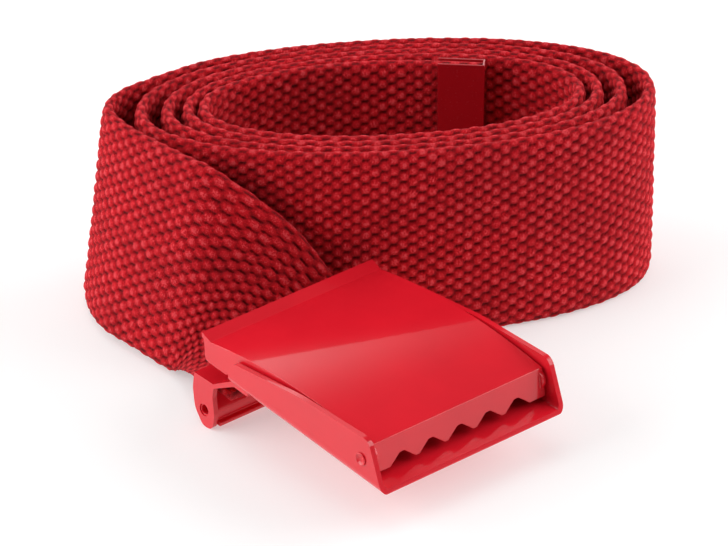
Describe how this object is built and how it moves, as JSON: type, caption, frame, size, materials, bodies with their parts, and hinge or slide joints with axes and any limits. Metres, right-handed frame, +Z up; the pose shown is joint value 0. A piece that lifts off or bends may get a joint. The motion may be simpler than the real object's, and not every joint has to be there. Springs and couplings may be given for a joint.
{
  "type": "gait belt",
  "caption": "Woven webbing belt wound into an upright oval coil, with a folded metal tip and a flip-top clamp buckle on its twisted end.",
  "frame": {"origin": "middle of the bounding box, on the floor the coil stands on", "axes": "+X to the right along the coil's long side, +Y from the buckle towards the back of the coil, +Z up across the webbing's width"},
  "size_m": [0.1396, 0.1502, 0.051],
  "materials": {
    "webbing": "woven, matte",
    "enamel": "glossy",
    "tip_enamel": "glossy"
  },
  "bodies": {
    "belt": {"webbing_coil": "webbing", "webbing_lead": "webbing", "belt_tip": "tip_enamel", "buckle_frame": "enamel", "cover_pin_left": "enamel", "cover_pin_right": "enamel", "clamp_pin": "enamel"},
    "cover": {"cover_plate": "enamel"},
    "lever": {"clamp_lever": "enamel"}
  },
  "joints": [
    {"name": "cover_hinge", "type": "hinge", "parent": "belt", "child": "cover", "pos_m": [0.01879, -0.05155, 0.01688], "axis": [0.7559, 0.6547, 0], "range_deg": [0, 110]},
    {"name": "clamp_hinge", "type": "hinge", "parent": "belt", "child": "lever", "pos_m": [-0.01808, -0.00898, 0.00438], "axis": [0.7559, 0.6547, 0], "range_deg": [0, 85]}
  ]
}
